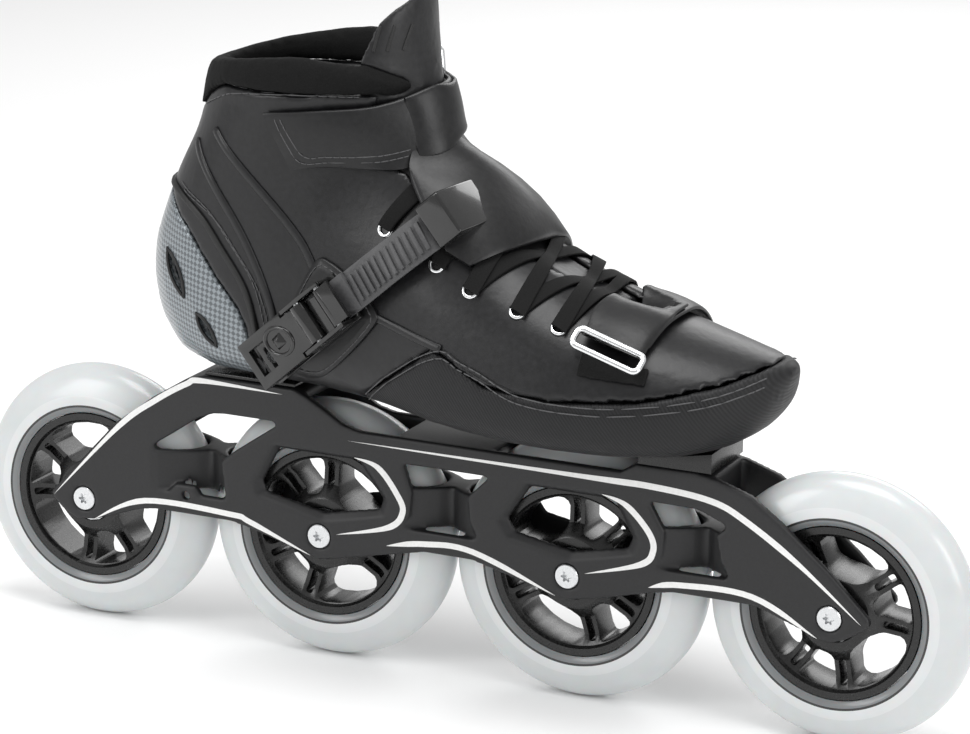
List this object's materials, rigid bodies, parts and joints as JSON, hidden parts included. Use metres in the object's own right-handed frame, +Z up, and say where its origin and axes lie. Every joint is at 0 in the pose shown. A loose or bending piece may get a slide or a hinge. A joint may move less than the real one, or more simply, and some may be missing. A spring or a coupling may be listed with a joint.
{
  "type": "inline skate",
  "caption": "Right inline speed skate: a low leather boot with a woven-fibre heel cup, laces, ankle and toe straps and a ratchet buckle, on a cast frame with large wheels in line.",
  "frame": {"origin": "on the floor, midway between the first and last axles and midway across the skate's overall width; the wheels' plane is 3.56 mm towards +Y because the buckle stands out on the -Y side", "axes": "+Z up, +X towards the toe, -Y towards the outside of the right foot, where the buckle is"},
  "size_m": [0.445, 0.1014, 0.2853],
  "materials": {
    "urethane": "milky off-white cast urethane, satin",
    "hub_nylon": "black glass-filled nylon, semi-gloss",
    "bearing_steel": "ground bearing steel",
    "axle_steel": "bright plated steel",
    "frame_metal": "matte black powder-coated casting with thin white inlay lines",
    "bolt_steel": "dark plated steel",
    "carbon_cloth": "silver-grey basket-woven fibre under clear resin",
    "leather": "smooth black leather, soft sheen, dashed dark stitching",
    "rand_leather": "matte black, finely ribbed abrasion-resistant leather",
    "padding": "matte black padded lining",
    "lace_webbing": "flat woven black polyester",
    "buckle_nylon": "glossy black nylon",
    "ladder_nylon": "matte dark grey moulded nylon",
    "chrome_wire": "bright chromed wire"
  },
  "bodies": {
    "root": {"frame": "frame_metal", "rear_mount_block": "hub_nylon", "front_mount_block": "hub_nylon", "rear_mount_bolt": "bolt_steel", "rear_mount_washer": "bolt_steel", "front_mount_bolt": "bolt_steel", "front_mount_washer": "bolt_steel", "heel_cup": "carbon_cloth", "rand": "rand_leather", "upper": "leather", "collar_pad": "padding", "tongue": "leather", "footbed": "padding", "laces": "lace_webbing", "buckle_patch": "leather", "buckle_base": "buckle_nylon", "buckle_lever_pin": "axle_steel", "buckle_pawl_pin": "axle_steel", "buckle_rivet": "axle_steel", "ladder_strap": "ladder_nylon", "ladder_clip": "buckle_nylon", "ankle_strap": "leather", "instep_pad": "leather", "toe_strap": "leather", "ankle_ring_anchor": "lace_webbing", "toe_ring_anchor": "lace_webbing", "ankle_strap_ring": "chrome_wire", "toe_strap_ring": "chrome_wire", "wheel_1_spacer": "axle_steel", "wheel_1_axle": "axle_steel", "wheel_2_spacer": "axle_steel", "wheel_2_axle": "axle_steel", "wheel_3_spacer": "axle_steel", "wheel_3_axle": "axle_steel", "wheel_4_spacer": "axle_steel", "wheel_4_axle": "axle_steel"},
    "wheel_1": {"wheel_1_tyre": "urethane", "wheel_1_hub": "hub_nylon", "wheel_1_bearing_outside": "bearing_steel", "wheel_1_bearing_inside": "bearing_steel"},
    "wheel_2": {"wheel_2_tyre": "urethane", "wheel_2_hub": "hub_nylon", "wheel_2_bearing_outside": "bearing_steel", "wheel_2_bearing_inside": "bearing_steel"},
    "wheel_3": {"wheel_3_tyre": "urethane", "wheel_3_hub": "hub_nylon", "wheel_3_bearing_outside": "bearing_steel", "wheel_3_bearing_inside": "bearing_steel"},
    "wheel_4": {"wheel_4_tyre": "urethane", "wheel_4_hub": "hub_nylon", "wheel_4_bearing_outside": "bearing_steel", "wheel_4_bearing_inside": "bearing_steel"},
    "buckle_lever": {"buckle_lever": "buckle_nylon"},
    "buckle_pawl": {"buckle_pawl": "buckle_nylon"},
    "ankle_flap": {"ankle_strap_flap": "leather"},
    "toe_flap": {"toe_strap_flap": "leather"}
  },
  "joints": [
    {"name": "wheel_1_spin", "type": "hinge", "parent": "root", "child": "wheel_1", "pos_m": [-0.1675, 0.00356, 0.055], "axis": [0, 1, 0], "continuous": true},
    {"name": "wheel_2_spin", "type": "hinge", "parent": "root", "child": "wheel_2", "pos_m": [-0.05583, 0.00356, 0.055], "axis": [0, 1, 0], "continuous": true},
    {"name": "wheel_3_spin", "type": "hinge", "parent": "root", "child": "wheel_3", "pos_m": [0.05583, 0.00356, 0.055], "axis": [0, 1, 0], "continuous": true},
    {"name": "wheel_4_spin", "type": "hinge", "parent": "root", "child": "wheel_4", "pos_m": [0.1675, 0.00356, 0.055], "axis": [0, 1, 0], "continuous": true},
    {"name": "buckle_lever_hinge", "type": "hinge", "parent": "root", "child": "buckle_lever", "pos_m": [-0.04451, -0.045, 0.1551], "axis": [-0.6491, 0.0691, 0.7576], "range_deg": [0, 105]},
    {"name": "buckle_pawl_hinge", "type": "hinge", "parent": "root", "child": "buckle_pawl", "pos_m": [-0.0354, -0.04545, 0.16294], "axis": [-0.6491, 0.0691, 0.7576], "range_deg": [0, 12], "stiffness_Nm_per_rad": 0.05, "springref_deg": -8.59},
    {"name": "ankle_flap_hinge", "type": "hinge", "parent": "root", "child": "ankle_flap", "pos_m": [-0.0272, 0.04126, 0.237], "axis": [-0.0995, 0, 0.995], "range_deg": [0, 110]},
    {"name": "toe_flap_hinge", "type": "hinge", "parent": "root", "child": "toe_flap", "pos_m": [0.082, -0.03544, 0.1611], "axis": [0.9349, 0.1122, -0.3366], "range_deg": [0, 110]}
  ]
}
